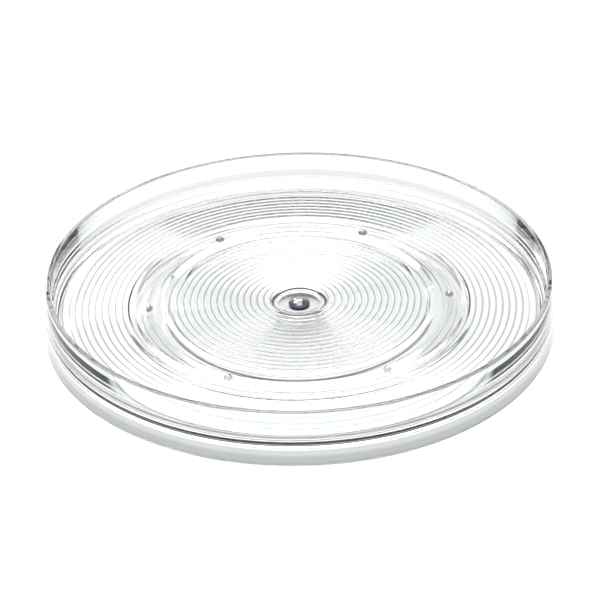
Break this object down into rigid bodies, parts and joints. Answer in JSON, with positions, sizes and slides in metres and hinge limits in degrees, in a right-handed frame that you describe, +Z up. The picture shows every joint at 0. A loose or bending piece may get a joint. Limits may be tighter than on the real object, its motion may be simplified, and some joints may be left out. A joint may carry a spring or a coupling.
{
  "type": "turntable display stand",
  "caption": "Clear round turntable with a walled, ribbed tray that spins on a ring of caged steel balls over a smaller footed base.",
  "frame": {"origin": "centre of the plane that the feet stand on", "axes": "+Z up along the spin axis; +X and +Y in the plane of the feet, with the first ball 3 degrees from +X"},
  "size_m": [0.3554, 0.3554, 0.0409],
  "materials": {
    "clear_plastic": "clear polished polystyrene",
    "cage_plastic": "clear moulded",
    "ball_steel": "polished bearing steel",
    "chrome_cap": "bright chrome on pressed sheet",
    "grey_washer": "turned, fine circular grain",
    "zinc_steel": "zinc plated",
    "white_acetal": "moulded satin",
    "soft_pad": "soft clear strip"
  },
  "bodies": {
    "base": {"base_plate": "clear_plastic", "pivot_rivet": "zinc_steel", "dome_cap": "chrome_cap", "push_nut": "zinc_steel", "spacer_sleeve": "white_acetal", "thrust_washer": "white_acetal", "backing_washer": "zinc_steel", "foot_1": "soft_pad", "foot_2": "soft_pad", "foot_3": "soft_pad", "foot_4": "soft_pad", "foot_5": "soft_pad", "foot_6": "soft_pad"},
    "tray_body": {"tray": "clear_plastic", "hub_washer": "grey_washer"},
    "cage": {"ball_cage": "cage_plastic"},
    "ball_1_body": {"ball_1": "ball_steel"},
    "ball_2_body": {"ball_2": "ball_steel"},
    "ball_3_body": {"ball_3": "ball_steel"},
    "ball_4_body": {"ball_4": "ball_steel"},
    "ball_5_body": {"ball_5": "ball_steel"},
    "ball_6_body": {"ball_6": "ball_steel"}
  },
  "joints": [
    {"name": "tray_spin", "type": "hinge", "parent": "base", "child": "tray_body", "pos_m": [0, 0, 0], "axis": [0, 0, 1], "continuous": true},
    {"name": "cage_spin", "type": "hinge", "parent": "base", "child": "cage", "pos_m": [0, 0, 0], "axis": [0, 0, 1], "continuous": true},
    {"name": "ball_1_roll", "type": "hinge", "parent": "cage", "child": "ball_1_body", "pos_m": [0.10536, 0.00552, 0.01249], "axis": [0.9986, 0.0523, 0], "continuous": true},
    {"name": "ball_2_roll", "type": "hinge", "parent": "cage", "child": "ball_2_body", "pos_m": [0.0479, 0.094, 0.01249], "axis": [0.454, 0.891, 0], "continuous": true},
    {"name": "ball_3_roll", "type": "hinge", "parent": "cage", "child": "ball_3_body", "pos_m": [-0.05746, 0.08848, 0.01249], "axis": [-0.5446, 0.8387, 0], "continuous": true},
    {"name": "ball_4_roll", "type": "hinge", "parent": "cage", "child": "ball_4_body", "pos_m": [-0.10536, -0.00552, 0.01249], "axis": [-0.9986, -0.0523, 0], "continuous": true},
    {"name": "ball_5_roll", "type": "hinge", "parent": "cage", "child": "ball_5_body", "pos_m": [-0.0479, -0.094, 0.01249], "axis": [-0.454, -0.891, 0], "continuous": true},
    {"name": "ball_6_roll", "type": "hinge", "parent": "cage", "child": "ball_6_body", "pos_m": [0.05746, -0.08848, 0.01249], "axis": [0.5446, -0.8387, 0], "continuous": true}
  ],
  "couplings": [
    {"joint": "cage_spin", "follows": "tray_spin", "ratio": 0.5},
    {"joint": "ball_1_roll", "follows": "tray_spin", "ratio": -19.185},
    {"joint": "ball_2_roll", "follows": "tray_spin", "ratio": -19.185},
    {"joint": "ball_3_roll", "follows": "tray_spin", "ratio": -19.185},
    {"joint": "ball_4_roll", "follows": "tray_spin", "ratio": -19.185},
    {"joint": "ball_5_roll", "follows": "tray_spin", "ratio": -19.185},
    {"joint": "ball_6_roll", "follows": "tray_spin", "ratio": -19.185}
  ]
}
